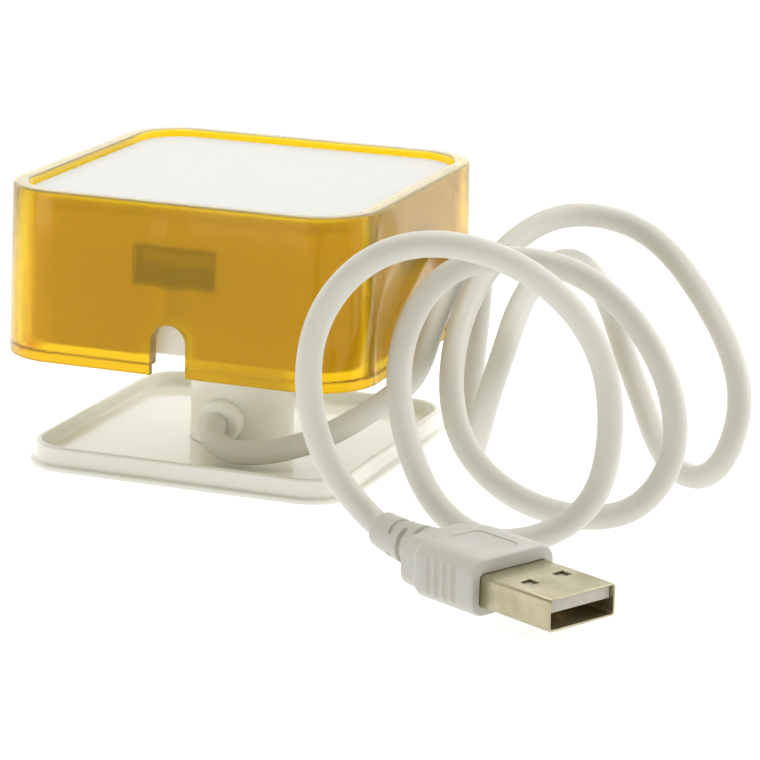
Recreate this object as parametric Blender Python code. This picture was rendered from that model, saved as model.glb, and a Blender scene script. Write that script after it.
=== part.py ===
"""A square four-port USB hub on a stand, with a sleeve that slides down to uncover its ports.

The origin is on the surface that the hub stands on, under the middle of its column. +Z is up, the front
face with the cord's notch looks along -Y, and the cord lies in loose upright loops on the +X side.
"""

import math

import bmesh
import bpy
import numpy as np
from mathutils import Matrix, Vector

MM = 0.001
GAP = 0.3 * MM

# Sleeve: a square ring of tinted plastic, slightly wider at its foot.
SLEEVE_TOP_SIDE = 57.2 * MM
SLEEVE_FOOT_SIDE = 58.0 * MM
SLEEVE_CORNER = 9.6 * MM
SLEEVE_WALL = 2.4 * MM
SLEEVE_TOP = 43.4 * MM
SLEEVE_FOOT = 17.8 * MM
REBATE_HEIGHT = 1.4 * MM
REBATE_LIP = 1.05 * MM
SLIDE_TRAVEL = 17.4 * MM
NOTCH_WIDTH = 5.6 * MM
NOTCH_TOP = 25.5 * MM

# Head: a shell with a floor, closed by the cover plate inside the sleeve.
HEAD_SIDE = 51.6 * MM
HEAD_CORNER = 7.0 * MM
HEAD_WALL = 1.8 * MM
HEAD_FLOOR = 20.2 * MM
HEAD_FLOOR_THICKNESS = 1.6 * MM
COVER_TOP = 42.35 * MM
COVER_THICKNESS = 1.6 * MM
COVER_SIDE = 51.8 * MM

# Two nubs in the sleeve run in grooves in the head's sides and stop it at both ends of its travel.
NUB_Y = 16.0 * MM
NUB_WIDTH = 2.0 * MM
NUB_HEIGHT = 1.2 * MM
NUB_REACH = 0.9 * MM
GROOVE_DEPTH = 0.9 * MM

# Column and tray.
COLUMN_RADIUS = 8.0 * MM
COLUMN_BORE = 4.8 * MM
COLUMN_FLANGE_RADIUS = 13.2 * MM
COLUMN_FLANGE_THICKNESS = 2.5 * MM
TRAY_SIDE = 50.8 * MM
TRAY_FLANGE_SIDE = 52.3 * MM
TRAY_CORNER = 6.6 * MM
TRAY_BOTTOM = 0.3 * MM
TRAY_FLANGE_TOP = 1.0 * MM
TRAY_FLOOR = 1.8 * MM
TRAY_RIM = 3.9 * MM
TRAY_RIM_WIDTH = 1.2 * MM
FOOT_PLACE = 19.0 * MM
FOOT_RADIUS = 3.5 * MM
FOOT_HEIGHT = 0.9 * MM

# Circuit board and what stands on it.
BOARD_SIDE = 47.2 * MM
BOARD_TOP = 30.35 * MM
BOARD_THICKNESS = 1.2 * MM
POST_PLACE = 18.0 * MM
POST_RADIUS = 2.5 * MM
PORT_HEIGHT = 33.6 * MM
PORT_MOUTH = 25.5 * MM
PORT_DEPTH = 14.0 * MM
PORT_SIZE = (13.1 * MM, 5.9 * MM)
PORT_BLOCK_DEPTH = 3.5 * MM
TONGUE_SIZE = (11.1 * MM, 1.84 * MM)
TONGUE_DROP = 0.72 * MM
TONGUE_RECESS = 1.0 * MM
SHEET = 0.3 * MM
CHIP_SIDE = 7.0 * MM
CHIP_HEIGHT = 1.4 * MM
CRYSTAL_SIZE = (10.2 * MM, 3.8 * MM, 3.4 * MM)
CRYSTAL_PLACE = (-13.0 * MM, 11.4 * MM)
CAPACITOR_PLACE = (12.5 * MM, 12.0 * MM)
HEADER_SIZE = (8.4 * MM, 4.6 * MM, 3.6 * MM)
HEADER_Y = 8.3 * MM

# Screws: head and shank radii.
SCREW_HEAD = 1.75 * MM
SCREW_SHANK = 0.75 * MM
SCREW_CLEARANCE = 1.05 * MM
BASE_SCREW_X = 6.4 * MM
COLUMN_SCREW_Y = 10.4 * MM

# Cord, gland and plug.
CORD_DIAMETER = 3.64 * MM
CORD_STEP = 7.3 * MM
LEAD_DIAMETER = 2.4 * MM
GLAND_RADIUS = 3.4 * MM
GLAND_NECK_RADIUS = 2.2 * MM
GLAND_HEIGHT = 6.0 * MM
GLAND_FACE = 10.1 * MM
PLUG_TIP = (74.8 * MM, -65.2 * MM)
PLUG_YAW = math.radians(-27.8)
PLUG_AXIS_HEIGHT = 4.55 * MM
PLUG_SHELL = (12.0 * MM, 4.5 * MM)
PLUG_SHELL_LOW = 2.0 * MM
PLUG_SHELL_LENGTH = 15.6 * MM
PLUG_SHELL_SHOWN = 13.0 * MM
LATCH_WINDOW = (2.0 * MM, 2.1 * MM)
LATCH_PLACE = (-7.0 * MM, 2.95 * MM)
INSULATOR_BLOCK_END = -11.0 * MM
INSULATOR_THICKNESS = 1.7 * MM
INSULATOR_END = -0.7 * MM
CONTACT_SPACING = 2.3 * MM
CONTACT_WIDTH = 1.0 * MM
CONTACT_SPAN = (-10.6 * MM, -1.6 * MM)

# The route of the lead inside the column, in millimetres, from the gland's neck up to its connector.
LEAD_ROUTE = [
    (0, -4.5, 6), (0, -2.8, 6.3), (0, -1.1, 7.6), (0, -0.2, 10), (0, 0, 14), (0, 0.2, 19), (0, 1.4, 23),
    (0, 3.2, 25.8), (0, 5.6, 27),
]  # fmt: skip

# The cord's route in millimetres, from the gland to the plug: out of the notch side, under the sleeve's
# right-hand wall, then three upright loops that spring from the cord's coiled set.
INNER_ROUTE = [
    (0, -10.5, 6), (1, -14, 5.2), (4.5, -16.5, 4.2), (10.5, -16, 4.5), (18, -12.5, 6.8), (25.5, -10.3, 11.7),
    (31.4, -10.3, 17.5),
]  # fmt: skip
OUTER_ROUTE = [
    (32.6, -6.8, 23.4), (32.6, 2.5, 28.9), (32.5, 11, 32.2), (32, 17, 29.5), (31.5, 18.7, 22.5), (31.4, 17.2, 13.5),
    (32, 14, 5.8), (34.3, 7.8, 1.9), (37.6, 1, 5.2), (41, -4, 14), (43, -3.5, 21), (43, 3, 26),
    (44, 14, 30), (46.5, 22, 29), (49.5, 27, 22.5), (52.5, 26.5, 15.5), (58, 20, 8.5), (65, 10.5, 2.9),
    (71.5, 5.3, 2.8), (75.3, 3.8, 7), (76.5, 5.5, 14), (74, 9.5, 20.5), (66, 18, 28), (57, 23.5, 34),
    (49.5, 23, 36.5), (43, 18, 36.5), (38.5, 8.5, 33), (36.8, -3.5, 26.5), (38.5, -14, 17.5), (43, -19.5, 10),
    (51, -21.5, 4.5), (60.5, -19.5, 2), (67.5, -16.5, 3.5), (71.5, -14, 9.5), (71.5, -13, 18), (67, -13, 27.5),
    (58, -12.5, 35), (47.5, -13, 37), (39, -15, 35), (34.5, -18.5, 29.5), (34, -24, 21.5), (39, -32.5, 12.5),
    (45.5, -37.5, 6), (52, -37, 2.5), (58.5, -32.5, 2.5), (64, -29, 6.5), (66.5, -28, 14.5), (66, -30, 27),
    (61.5, -35, 37), (54, -41, 43.5), (45, -46, 45.5), (37.5, -49, 42.5), (32, -50.5, 35), (30.5, -50.5, 25),
    (32.3, -48.5, 15.1), (35.4, -46.6, 9.4), (38.5, -46.1, 6.2), (39.92, -46.81, 5.53),
]  # fmt: skip

SIDES = (("front", -90), ("right", 0), ("rear", 90), ("left", 180))
CORNERS = (("front_left", -1, -1), ("front_right", 1, -1), ("rear_right", 1, 1), ("rear_left", -1, 1))


def clear_scene():
    for old in list(bpy.data.objects):
        bpy.data.objects.remove(old)


def finish(name, colour, roughness, metallic=0.0, alpha=1.0):
    """A Principled material of one colour."""
    material = bpy.data.materials.new(name)
    material.use_nodes = True
    shader = material.node_tree.nodes["Principled BSDF"]
    shader.inputs["Base Color"].default_value = (*colour, 1.0)
    shader.inputs["Roughness"].default_value = roughness
    shader.inputs["Metallic"].default_value = metallic
    shader.inputs["Alpha"].default_value = alpha
    return material


def add(name, mesh, material=None):
    """Puts a bmesh in the scene as an object. Without a material it is a hidden cutter."""
    data = bpy.data.meshes.new(name)
    mesh.to_mesh(data)
    mesh.free()
    obj = bpy.data.objects.new(name, data)
    bpy.context.scene.collection.objects.link(obj)
    if material is None:
        obj.hide_render = True
        obj.display_type = "WIRE"
    else:
        data.materials.append(material)
        data.shade_smooth()
        data.set_sharp_from_angle(angle=math.radians(30))
    return obj


def skin(name, rings, material=None, hollow=False):
    """A body through rings of points. Its ends are capped, or joined to each other when it is hollow."""
    mesh = bmesh.new()
    loops = [[mesh.verts.new(point) for point in ring] for ring in rings]
    pairs = list(zip(loops, loops[1:]))
    if hollow:
        pairs.append((loops[-1], loops[0]))
    else:
        mesh.faces.new(reversed(loops[0]))
        mesh.faces.new(loops[-1])
    for low, high in pairs:
        for i in range(len(low)):
            j = (i + 1) % len(low)
            mesh.faces.new((low[i], low[j], high[j], high[i]))
    return add(name, mesh, material)


def rounded(width, depth, radius, steps=5):
    """Outline of a rounded rectangle about the origin, anticlockwise."""
    outline = []
    for quarter, (side_x, side_y) in enumerate(((1, 1), (-1, 1), (-1, -1), (1, -1))):
        centre_x = side_x * (width / 2 - radius)
        centre_y = side_y * (depth / 2 - radius)
        for step in range(steps + 1):
            angle = (quarter + step / steps) * math.pi / 2
            outline.append((centre_x + radius * math.cos(angle), centre_y + radius * math.sin(angle)))
    return outline


def circle(radius, steps=24, centre=(0.0, 0.0)):
    """Outline of a circle, anticlockwise, with a flat and not a corner towards +X."""
    angles = [2 * math.pi * (step + 0.5) / steps for step in range(steps)]
    return [(centre[0] + radius * math.cos(a), centre[1] + radius * math.sin(a)) for a in angles]


def at_height(outline, z):
    return [(x, y, z) for x, y in outline]


def slab(name, outline, low, high, material=None):
    return skin(name, [at_height(outline, low), at_height(outline, high)], material)


def block(name, low, high, material=None):
    """A box between two corners."""
    (x0, y0, z0), (x1, y1, z1) = low, high
    return slab(name, [(x0, y0), (x1, y0), (x1, y1), (x0, y1)], z0, z1, material)


def combine(target, other, operation="DIFFERENCE", solver="EXACT"):
    modifier = target.modifiers.new(other.name, "BOOLEAN")
    modifier.operation = operation
    modifier.object = other
    modifier.solver = solver


def lay_along_y(obj):
    """Turns a body that stands along +Z so that it points along -Y."""
    obj.data.transform(Matrix.Rotation(math.pi / 2, 4, "X"))


def smooth_curve(route):
    """Points close together on a natural cubic spline through the route's points, and the length to each."""
    points = np.array(route, float)
    knots = np.concatenate([[0], np.cumsum(np.linalg.norm(np.diff(points, axis=0), axis=1) ** 0.5)])
    gaps = np.diff(knots)
    count = len(points)
    system = np.eye(count)
    right = np.zeros((count, 3))
    for i in range(1, count - 1):
        system[i, i - 1 : i + 2] = gaps[i - 1], 2 * (gaps[i - 1] + gaps[i]), gaps[i]
        slopes = (points[i + 1] - points[i]) / gaps[i], (points[i] - points[i - 1]) / gaps[i - 1]
        right[i] = 6 * (slopes[0] - slopes[1])
    bends = np.linalg.solve(system, right)
    along = np.linspace(0, knots[-1], 40 * count)
    k = np.clip(np.searchsorted(knots, along) - 1, 0, count - 2)
    a = ((knots[k + 1] - along) / gaps[k])[:, None]
    b = 1 - a
    sixth = (gaps[k] ** 2 / 6)[:, None]
    curve = a * points[k] + b * points[k + 1] + ((a**3 - a) * bends[k] + (b**3 - b) * bends[k + 1]) * sixth
    lengths = np.concatenate([[0], np.cumsum(np.linalg.norm(np.diff(curve, axis=0), axis=1))])
    return curve, lengths


def stretch(curve, lengths, start, end, step):
    """Points about one step apart on a curve between two lengths, with a short step at each end to square it."""
    square = 0.8 * MM
    count = max(3, round((end - start) / step) + 1)
    wanted = [start, *np.linspace(start + square, end - square, count), end]
    return [tuple(np.interp(length, lengths, curve[:, axis]) for axis in range(3)) for length in wanted]


def tube(name, points, diameter, material):
    """A round tube along a list of points, with closed ends."""
    data = bpy.data.curves.new(name, "CURVE")
    data.dimensions = "3D"
    data.bevel_depth = diameter / 2
    data.bevel_resolution = 2
    data.use_fill_caps = True
    spline = data.splines.new("POLY")
    spline.points.add(len(points) - 1)
    for target, point in zip(spline.points, points):
        target.co = (*point, 1.0)
    data.materials.append(material)
    obj = bpy.data.objects.new(name, data)
    bpy.context.scene.collection.objects.link(obj)
    return obj


def make_sleeve(material):
    """The sliding ring, with a thinner lip at its foot, the cord's notch and the two stop nubs."""

    def wall(height, inset):
        share = (height - SLEEVE_FOOT) / (SLEEVE_TOP - SLEEVE_FOOT)
        side = SLEEVE_FOOT_SIDE + share * (SLEEVE_TOP_SIDE - SLEEVE_FOOT_SIDE) - 2 * inset
        return at_height(rounded(side, side, SLEEVE_CORNER - inset), height)

    step = SLEEVE_FOOT + REBATE_HEIGHT
    rings = [
        wall(SLEEVE_FOOT, 0),
        wall(SLEEVE_TOP, 0),
        wall(SLEEVE_TOP, SLEEVE_WALL),
        wall(step, SLEEVE_WALL),
        wall(step, REBATE_LIP),
        wall(SLEEVE_FOOT, REBATE_LIP),
    ]
    sleeve = skin("sleeve", rings, material, hollow=True)

    half = NOTCH_WIDTH / 2
    spring = NOTCH_TOP - half
    arch = [(half * math.cos(math.pi * k / 10), spring + half * math.sin(math.pi * k / 10)) for k in range(11)]
    arch += [(-half, SLEEVE_FOOT - 2 * MM), (half, SLEEVE_FOOT - 2 * MM)]
    near, far = SLEEVE_FOOT_SIDE / 2 + 2 * MM, SLEEVE_TOP_SIDE / 2 - 2 * SLEEVE_WALL
    notch = skin("cut_notch", [[(x, -near, z) for x, z in arch], [(x, -far, z) for x, z in arch]])
    notch.data.flip_normals()
    combine(sleeve, notch)

    nub_top = COVER_TOP - COVER_THICKNESS - GAP
    for side in (-1, 1):
        reach = sorted((side * (HEAD_SIDE / 2 - NUB_REACH / 2), side * SLEEVE_TOP_SIDE / 2 - side * MM))
        nub = block(
            f"join_nub_{'right' if side > 0 else 'left'}",
            (reach[0], NUB_Y - NUB_WIDTH / 2, nub_top - NUB_HEIGHT),
            (reach[1], NUB_Y + NUB_WIDTH / 2, nub_top),
        )
        combine(sleeve, nub, "UNION")


def make_cover(material):
    """The flat plate on top, with a locating leg inside each side of the head."""
    bottom = COVER_TOP - COVER_THICKNESS
    corner = HEAD_CORNER + (COVER_SIDE - HEAD_SIDE) / 2
    edge = 0.3 * MM
    rings = [
        at_height(rounded(COVER_SIDE, COVER_SIDE, corner), bottom),
        at_height(rounded(COVER_SIDE, COVER_SIDE, corner), COVER_TOP - edge),
        at_height(rounded(COVER_SIDE - 2 * edge, COVER_SIDE - 2 * edge, corner - edge), COVER_TOP),
    ]
    cover = skin("top_cover", rings, material)
    outside = HEAD_SIDE / 2 - HEAD_WALL - GAP
    leg_half, leg_thick, leg_drop = 3.0 * MM, 1.2 * MM, 2.8 * MM
    for label, degrees in SIDES:
        leg = block(
            f"join_leg_{label}",
            (outside - leg_thick, -leg_half, bottom - leg_drop),
            (outside, leg_half, bottom + leg_thick / 2),
        )
        leg.data.transform(Matrix.Rotation(math.radians(degrees), 4, "Z"))
        combine(cover, leg, "UNION")


def make_housing(material):
    """The head's shell: four walls with a port window each, a floor with the column's hole, and board posts."""
    inner = HEAD_SIDE - 2 * HEAD_WALL
    floor = HEAD_FLOOR + HEAD_FLOOR_THICKNESS
    rim = COVER_TOP - COVER_THICKNESS - GAP
    outline = rounded(HEAD_SIDE, HEAD_SIDE, HEAD_CORNER)
    housing = slab("housing", outline, HEAD_FLOOR, rim, material)
    pocket = rounded(inner, inner, HEAD_CORNER - HEAD_WALL)
    combine(housing, slab("cut_head_inside", pocket, floor, rim + MM))
    combine(housing, slab("cut_lead_hole", circle(COLUMN_BORE + 0.4 * MM), HEAD_FLOOR - MM, floor + MM))

    across, up = PORT_SIZE[0] / 2 + GAP, PORT_SIZE[1] / 2 + GAP
    for label, degrees in SIDES:
        window = block(
            f"cut_window_{label}",
            (inner / 2 - 2 * MM, -across, PORT_HEIGHT - up),
            (HEAD_SIDE / 2 + MM, across, PORT_HEIGHT + up),
        )
        window.data.transform(Matrix.Rotation(math.radians(degrees), 4, "Z"))
        combine(housing, window)

    groove_foot = rim - NUB_HEIGHT - SLIDE_TRAVEL - GAP
    groove_half = NUB_WIDTH / 2 + GAP
    for side in (-1, 1):
        reach = sorted((side * (HEAD_SIDE / 2 - GROOVE_DEPTH), side * (HEAD_SIDE / 2 + MM)))
        groove = block(
            f"cut_groove_{'right' if side > 0 else 'left'}",
            (reach[0], NUB_Y - groove_half, groove_foot),
            (reach[1], NUB_Y + groove_half, rim + MM),
        )
        combine(housing, groove)

    post_top = BOARD_TOP - BOARD_THICKNESS - GAP
    for label, side_x, side_y in CORNERS:
        place = (side_x * POST_PLACE, side_y * POST_PLACE)
        post = slab(f"join_post_{label}", circle(POST_RADIUS, 16, place), floor - MM / 2, post_top)
        combine(housing, post, "UNION")
        hole = slab(f"cut_post_{label}", circle(SCREW_CLEARANCE, 12, place), floor + MM, post_top + MM)
        combine(housing, hole)
    for side in (-1, 1):
        hole = slab(
            f"cut_head_screw_{'rear' if side > 0 else 'front'}",
            circle(SCREW_CLEARANCE, 12, (0, side * COLUMN_SCREW_Y)),
            HEAD_FLOOR - MM,
            floor + MM,
        )
        combine(housing, hole)


def make_column(material):
    """The hollow round column, with the flange that the head is screwed to and the gland's hole at its foot."""
    foot = TRAY_FLOOR + GAP
    top = HEAD_FLOOR - GAP
    under = top - COLUMN_FLANGE_THICKNESS
    profile = [
        (COLUMN_RADIUS, foot),
        (COLUMN_RADIUS, under - MM),
        (COLUMN_RADIUS + MM, under),
        (COLUMN_FLANGE_RADIUS, under),
        (COLUMN_FLANGE_RADIUS, top),
        (COLUMN_BORE, top),
        (COLUMN_BORE, foot),
    ]
    column = skin("column", [at_height(circle(r, 40), z) for r, z in profile], material, hollow=True)
    hole = circle(GLAND_NECK_RADIUS + 0.2 * MM, 16)
    gland_hole = slab("cut_gland_hole", hole, COLUMN_BORE - 2 * MM, COLUMN_RADIUS + MM)
    lay_along_y(gland_hole)
    gland_hole.data.transform(Matrix.Translation((0, 0, GLAND_HEIGHT)))
    combine(column, gland_hole)
    for side in (-1, 1):
        screw_hole = slab(
            f"cut_column_foot_{'right' if side > 0 else 'left'}",
            circle(SCREW_CLEARANCE, 12, (side * BASE_SCREW_X, 0)),
            foot - MM,
            foot + 6.5 * MM,
        )
        combine(column, screw_hole)
        flange_hole = slab(
            f"cut_column_flange_{'rear' if side > 0 else 'front'}",
            circle(SCREW_CLEARANCE, 12, (0, side * COLUMN_SCREW_Y)),
            under - MM,
            top + MM,
        )
        combine(column, flange_hole)


def make_tray(material):
    """The shallow square tray with a thin flange round its foot, pockets for the feet and two screw holes."""
    inner = TRAY_SIDE - 2 * TRAY_RIM_WIDTH
    flange_corner = TRAY_CORNER + (TRAY_FLANGE_SIDE - TRAY_SIDE) / 2
    wall = rounded(TRAY_SIDE, TRAY_SIDE, TRAY_CORNER)
    flange = rounded(TRAY_FLANGE_SIDE, TRAY_FLANGE_SIDE, flange_corner)
    rings = [
        at_height(flange, TRAY_BOTTOM),
        at_height(flange, TRAY_FLANGE_TOP),
        at_height(wall, TRAY_FLANGE_TOP),
        at_height(wall, TRAY_RIM),
    ]
    tray = skin("base_tray", rings, material)
    hollow = rounded(inner, inner, TRAY_CORNER - TRAY_RIM_WIDTH)
    combine(tray, slab("cut_tray_inside", hollow, TRAY_FLOOR, TRAY_RIM + MM))
    for label, side_x, side_y in CORNERS:
        place = (side_x * FOOT_PLACE, side_y * FOOT_PLACE)
        pocket_top = FOOT_HEIGHT + 0.1 * MM
        pocket = slab(f"cut_foot_{label}", circle(FOOT_RADIUS + 0.15 * MM, 20, place), -MM, pocket_top)
        combine(tray, pocket)
    for side in (-1, 1):
        place = (side * BASE_SCREW_X, 0)
        label = "right" if side > 0 else "left"
        combine(tray, slab(f"cut_tray_screw_{label}", circle(SCREW_CLEARANCE, 12, place), -MM, 3 * MM))
        combine(tray, slab(f"cut_tray_head_{label}", circle(SCREW_HEAD + 0.25 * MM, 16, place), -MM, 1.2 * MM))


def make_feet(material):
    for label, side_x, side_y in CORNERS:
        place = (side_x * FOOT_PLACE, side_y * FOOT_PLACE)
        edge = 0.15 * MM
        rings = [
            at_height(circle(FOOT_RADIUS - edge, 20, place), 0),
            at_height(circle(FOOT_RADIUS, 20, place), edge),
            at_height(circle(FOOT_RADIUS, 20, place), FOOT_HEIGHT),
        ]
        skin(f"rubber_foot_{label}", rings, material)


def make_screw(name, place, seat, length, upward, material):
    """A pan-head screw with a cross recess. seat is the height of the face under its head."""
    head_height = 0.75 * MM
    profile = [
        (SCREW_HEAD * 0.8, -head_height),
        (SCREW_HEAD, -head_height * 0.55),
        (SCREW_HEAD, 0),
        (SCREW_SHANK, 0),
        (SCREW_SHANK, length - 0.6 * MM),
        (SCREW_SHANK * 0.4, length),
    ]
    screw = skin(name, [at_height(circle(r, 12), z) for r, z in profile], material)
    arm, half, deep = 1.1 * MM, 0.22 * MM, 0.35 * MM
    outline = [
        (arm, -half), (arm, half), (half, half), (half, arm), (-half, arm), (-half, half),
        (-arm, half), (-arm, -half), (-half, -half), (-half, -arm), (half, -arm), (half, -half),
    ]  # fmt: skip
    recess = slab("cut_" + name, outline, -head_height - MM, deep - head_height)
    pose = Matrix.Translation((*place, seat))
    if not upward:
        pose = pose @ Matrix.Rotation(math.pi, 4, "X")
    screw.data.transform(pose)
    recess.data.transform(pose)
    combine(screw, recess)


def make_screws(material):
    floor = HEAD_FLOOR + HEAD_FLOOR_THICKNESS
    for label, side in (("left", -1), ("right", 1)):
        make_screw(f"base_screw_{label}", (side * BASE_SCREW_X, 0), 1.15 * MM, 6.2 * MM, True, material)
    for label, side in (("front", -1), ("rear", 1)):
        place = (0, side * COLUMN_SCREW_Y)
        make_screw(f"column_screw_{label}", place, floor + 0.1 * MM, 4.1 * MM, False, material)
    for label, side_x, side_y in CORNERS:
        place = (side_x * POST_PLACE, side_y * POST_PLACE)
        make_screw(f"board_screw_{label}", place, BOARD_TOP + 0.1 * MM, 5.5 * MM, False, material)


def make_board(material):
    low = BOARD_TOP - BOARD_THICKNESS
    board = slab("circuit_board", rounded(BOARD_SIDE, BOARD_SIDE, 5.0 * MM), low, BOARD_TOP, material)
    for label, side_x, side_y in CORNERS:
        place = (side_x * POST_PLACE, side_y * POST_PLACE)
        combine(board, slab(f"cut_board_{label}", circle(SCREW_CLEARANCE, 12, place), low - MM, BOARD_TOP + MM))


def make_ports(metal, plastic):
    """Each port is a folded sheet shell, open at its mouth, round a tongue that stands on a rear block."""
    across, up = PORT_SIZE[0] / 2, PORT_SIZE[1] / 2
    back = PORT_MOUTH - PORT_DEPTH
    loose = 0.2 * MM
    tongue_top = PORT_HEIGHT + up - SHEET - TONGUE_DROP
    tongue_half = TONGUE_SIZE[0] / 2
    for label, degrees in SIDES:
        turn = Matrix.Rotation(math.radians(degrees), 4, "Z")
        shell = block(
            f"port_shell_{label}",
            (back, -across, PORT_HEIGHT - up),
            (PORT_MOUTH, across, PORT_HEIGHT + up),
            metal,
        )
        inside = block(
            f"cut_port_{label}",
            (back + SHEET, -across + SHEET, PORT_HEIGHT - up + SHEET),
            (PORT_MOUTH + MM, across - SHEET, PORT_HEIGHT + up - SHEET),
        )
        tongue = block(
            f"port_tongue_{label}",
            (back + SHEET + loose, -across + SHEET + loose, PORT_HEIGHT - up + SHEET + loose),
            (back + PORT_BLOCK_DEPTH, across - SHEET - loose, PORT_HEIGHT + up - SHEET - loose),
            plastic,
        )
        blade = block(
            f"join_tongue_{label}",
            (back + PORT_BLOCK_DEPTH - 0.5 * MM, -tongue_half, tongue_top - TONGUE_SIZE[1]),
            (PORT_MOUTH - TONGUE_RECESS, tongue_half, tongue_top),
        )
        for obj in (shell, inside, tongue, blade):
            obj.data.transform(turn)
        combine(shell, inside)
        combine(tongue, blade, "UNION")


def make_electronics(chip, metal, sleeve_black, nylon):
    """The controller, its crystal, two capacitors, and the header under the board that the lead plugs into."""
    rest = BOARD_TOP + GAP
    slab("hub_controller", rounded(CHIP_SIDE, CHIP_SIDE, 0.3 * MM, 2), rest, rest + CHIP_HEIGHT, chip)
    long_side, short_side, tall = CRYSTAL_SIZE
    crystal = slab("crystal", rounded(long_side, short_side, 1.8 * MM, 4), rest, rest + tall, metal)
    crystal.data.transform(Matrix.Translation((*CRYSTAL_PLACE, 0)))
    for label, side in (("front", -1), ("rear", 1)):
        place = (CAPACITOR_PLACE[0], side * CAPACITOR_PLACE[1])
        profile = [
            (2.5 * MM, 0), (2.5 * MM, 0.8 * MM), (2.3 * MM, 1.0 * MM), (2.3 * MM, 1.2 * MM),
            (2.5 * MM, 1.4 * MM), (2.5 * MM, 6.7 * MM), (2.2 * MM, 7.0 * MM),
        ]  # fmt: skip
        skin(f"capacitor_{label}", [at_height(circle(r, 16, place), rest + z) for r, z in profile], sleeve_black)
    under = BOARD_TOP - BOARD_THICKNESS - GAP
    wide, deep, tall = HEADER_SIZE
    low = (-wide / 2, HEADER_Y - deep / 2, under - tall)
    block("lead_connector", low, (wide / 2, HEADER_Y + deep / 2, under), nylon)


def make_gland(material):
    """A round collar that hugs the column's front, with a neck through its wall."""
    edge = 0.4 * MM
    collar = slab("cord_gland", circle(GLAND_RADIUS), COLUMN_RADIUS - 2 * MM, GLAND_FACE - edge, material)
    lay_along_y(collar)
    outline = [
        at_height(circle(GLAND_RADIUS), GLAND_FACE - 2 * edge),
        at_height(circle(GLAND_RADIUS), GLAND_FACE - edge),
        at_height(circle(GLAND_RADIUS - edge), GLAND_FACE),
    ]
    face = skin("join_gland_face", outline)
    lay_along_y(face)
    neck = slab("join_gland_neck", circle(GLAND_NECK_RADIUS, 16), COLUMN_BORE, GLAND_FACE - MM)
    lay_along_y(neck)
    seat = slab("cut_gland_seat", circle(COLUMN_RADIUS + GAP / 2, 60), -12 * MM, 12 * MM)
    for obj in (collar, face, neck):
        obj.data.transform(Matrix.Translation((0, 0, GLAND_HEIGHT)))
    combine(collar, face, "UNION")
    combine(collar, seat)
    combine(collar, neck, "UNION")


def make_cords(material):
    """The lead inside the column, and the cord: its stretch under the sleeve, then its loops up to the plug."""
    curve, lengths = smooth_curve([Vector(point) * MM for point in LEAD_ROUTE])
    tube("inner_lead", stretch(curve, lengths, 0, lengths[-1], 2 * LEAD_DIAMETER), LEAD_DIAMETER, material)

    curve, lengths = smooth_curve([Vector(point) * MM for point in INNER_ROUTE + OUTER_ROUTE])
    split = np.linalg.norm(curve - np.array(INNER_ROUTE[-1]) * MM, axis=1).argmin()
    inner_end = lengths[split]
    inner = stretch(curve, lengths, 0, inner_end - GAP / 2, CORD_STEP / 1.5)
    outer = stretch(curve, lengths, inner_end + GAP / 2, lengths[-1], CORD_STEP)
    tube("cord_inner", inner, CORD_DIAMETER, material)
    tube("cord", outer, CORD_DIAMETER, material)


def on_plug(points, x):
    """A rounded outline across the plug's axis, x ahead of or behind its tip."""
    return [(x, y, z + PLUG_AXIS_HEIGHT) for y, z in points]


def make_relief():
    """The ribbed sleeve behind the plug's body, which bends up more and more to meet the cord."""
    start, length, end_angle, ribs = -27.8 * MM, 11.4 * MM, 0.24, 3
    thick, thin, groove_depth = 3.35 * MM, 2.45 * MM, 0.5 * MM
    rings = []
    for step in range(4 * ribs + 1):
        share = step / (4 * ribs)
        angle = end_angle * share**2
        centre = Vector((start - length * share, 0, PLUG_AXIS_HEIGHT + length * end_angle * share**3 / 3))
        groove = groove_depth if step % 4 == 2 and step > 2 else 0
        radius = thick + share * (thin - thick) - groove
        up = Vector((math.sin(angle), 0, math.cos(angle)))
        rings.append([centre + radius * Vector((up.x * y, x, up.z * y)) for x, y in circle(1.0, 20)])
    return skin("join_relief", list(reversed(rings)))


def make_overmold(plastic):
    """The plug's moulded body, with its stepped neck, its strain relief and the pocket for the shell."""
    sections = [
        (-28.4, 11.6, 5.8, 1.4), (-27.8, 12.8, 6.8, 1.8), (-25.0, 13.2, 7.0, 1.8),
        (-24.2, 15.0, 7.9, 2.0), (-14.0, 15.0, 7.9, 2.0), (-13.0, 13.6, 6.8, 1.5),
    ]  # fmt: skip
    rings = [on_plug(rounded(w * MM, h * MM, r * MM, 4), x * MM) for x, w, h, r in sections]
    overmold = skin("plug_overmold", rings, plastic)
    relief = make_relief()
    combine(overmold, relief, "UNION")

    width, height = PLUG_SHELL
    centre = PLUG_SHELL_LOW + height / 2
    room = rounded(width + 2 * GAP, height + 2 * GAP, 0.8 * MM, 3)
    ends = -PLUG_SHELL_LENGTH - GAP, -PLUG_SHELL_SHOWN + 2 * MM
    pocket = skin("cut_plug_pocket", [[(x, y, z + centre) for y, z in room] for x in ends])
    combine(overmold, pocket)
    return overmold, relief, pocket


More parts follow.
